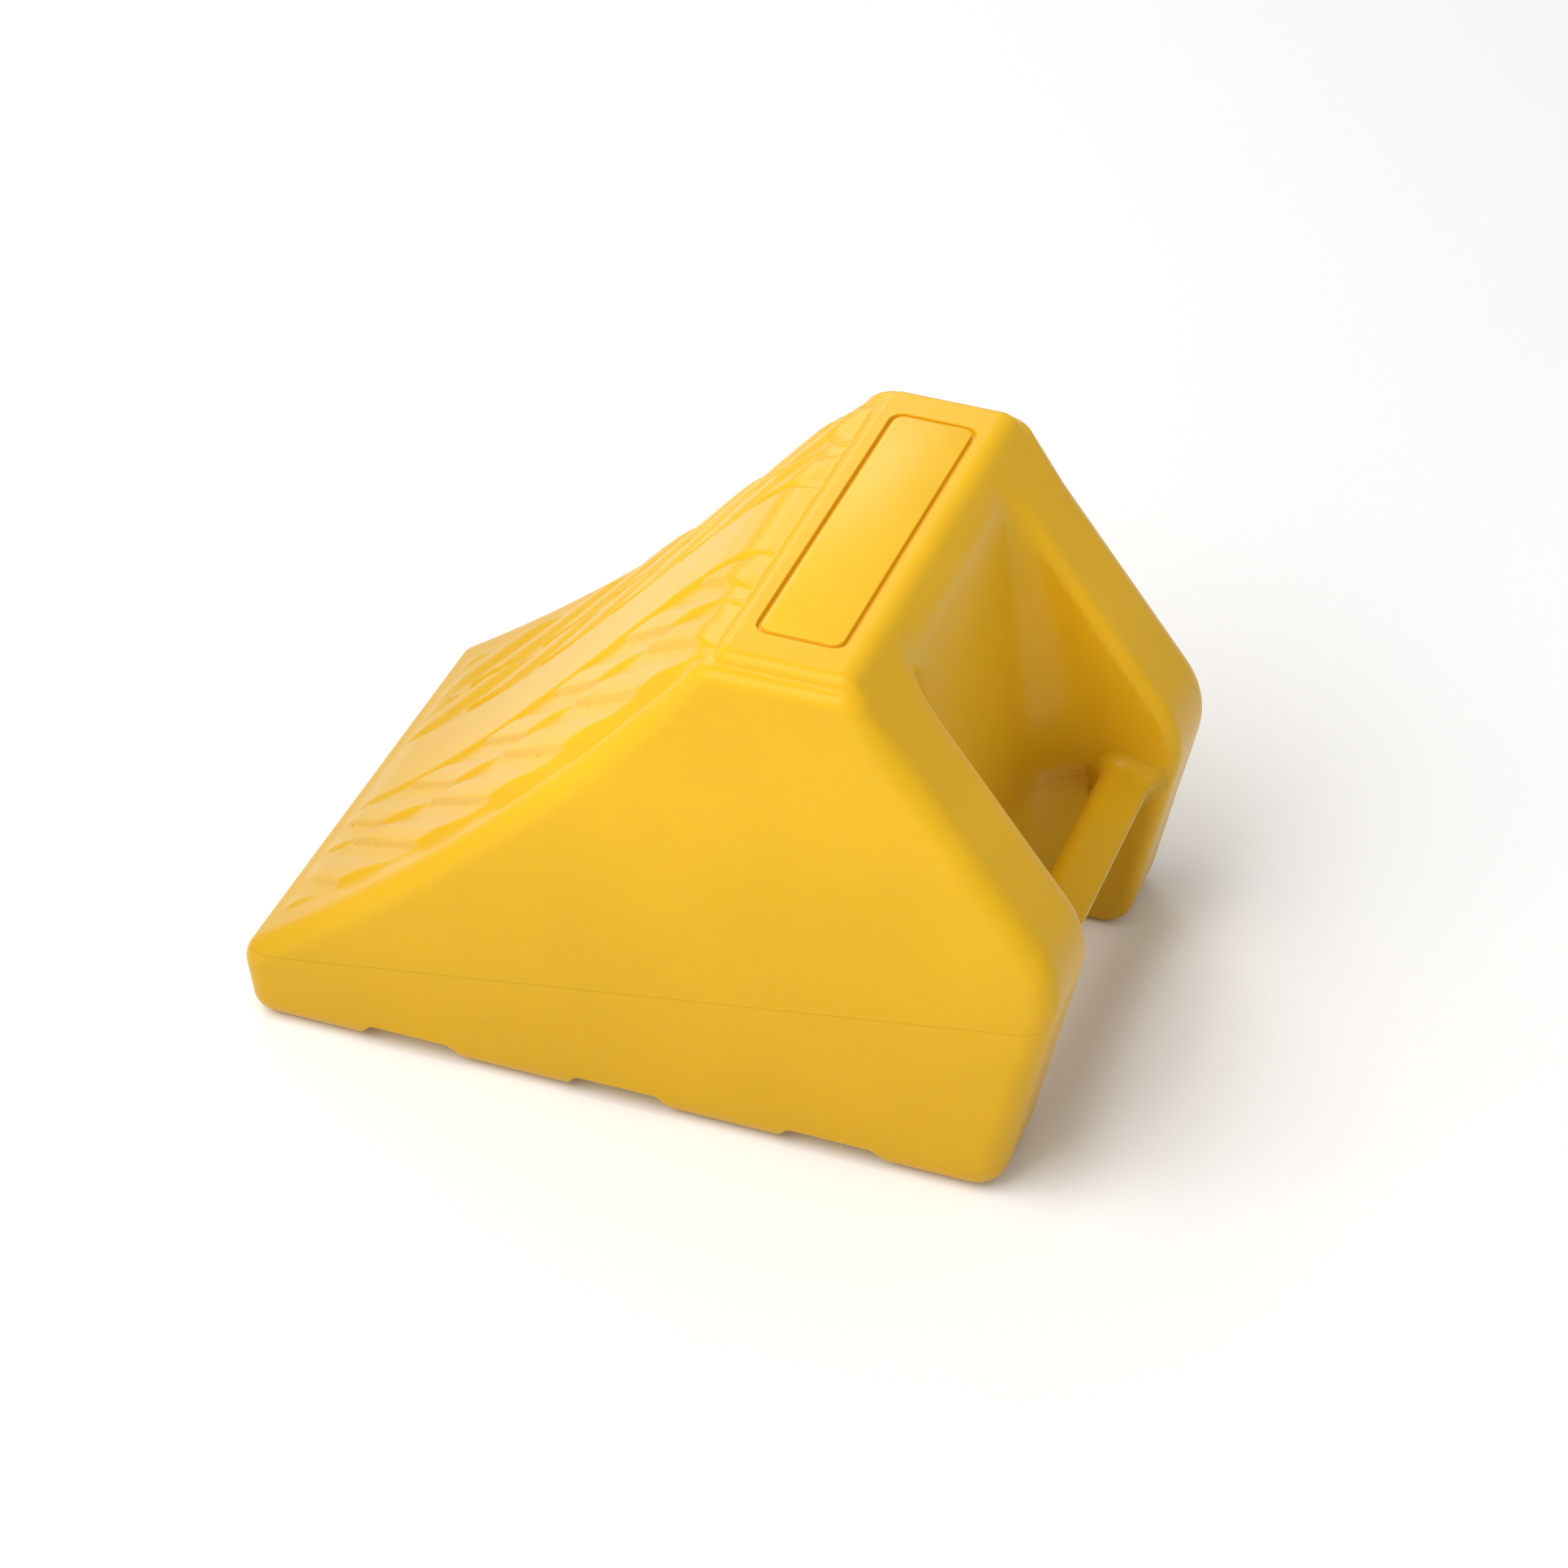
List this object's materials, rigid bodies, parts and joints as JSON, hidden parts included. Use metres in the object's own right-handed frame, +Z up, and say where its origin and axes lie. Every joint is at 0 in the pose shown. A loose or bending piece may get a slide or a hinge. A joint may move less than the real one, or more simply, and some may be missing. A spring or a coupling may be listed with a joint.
{
  "type": "wheel chock",
  "caption": "Hollow moulded wedge-shaped wheel chock with a slightly hollow tyre face with slanting lugs, a flat top with a blank label plate, a hand hole with a grip bar, and ground pads.",
  "frame": {"origin": "on the ground plane, under the centre of the whole chock", "axes": "+Z up, -X towards the nose that goes under the tyre, +X towards the hand hole, Y across the width"},
  "size_m": [0.3171, 0.2132, 0.209],
  "materials": {
    "upper_shell_plastic": "satin",
    "base_shell_plastic": "satin",
    "grip_bar_plastic": "satin",
    "label_plate_plastic": "satin",
    "ground_pad_plastic": "matte",
    "vent_plug_rubber": "matte",
    "rib_plastic": "matte"
  },
  "bodies": {
    "root": {"upper_shell": "upper_shell_plastic", "base_shell": "base_shell_plastic", "grip_bar": "grip_bar_plastic", "label_plate": "label_plate_plastic", "ground_pad_nose": "ground_pad_plastic", "ground_pad_front": "ground_pad_plastic", "ground_pad_rear": "ground_pad_plastic", "ground_pad_heel_left": "ground_pad_plastic", "ground_pad_heel_right": "ground_pad_plastic", "vent_plug": "vent_plug_rubber", "load_rib_left": "rib_plastic", "load_rib_right": "rib_plastic", "cross_rib_front": "rib_plastic", "cross_rib_rear": "rib_plastic"}
  },
  "joints": []
}
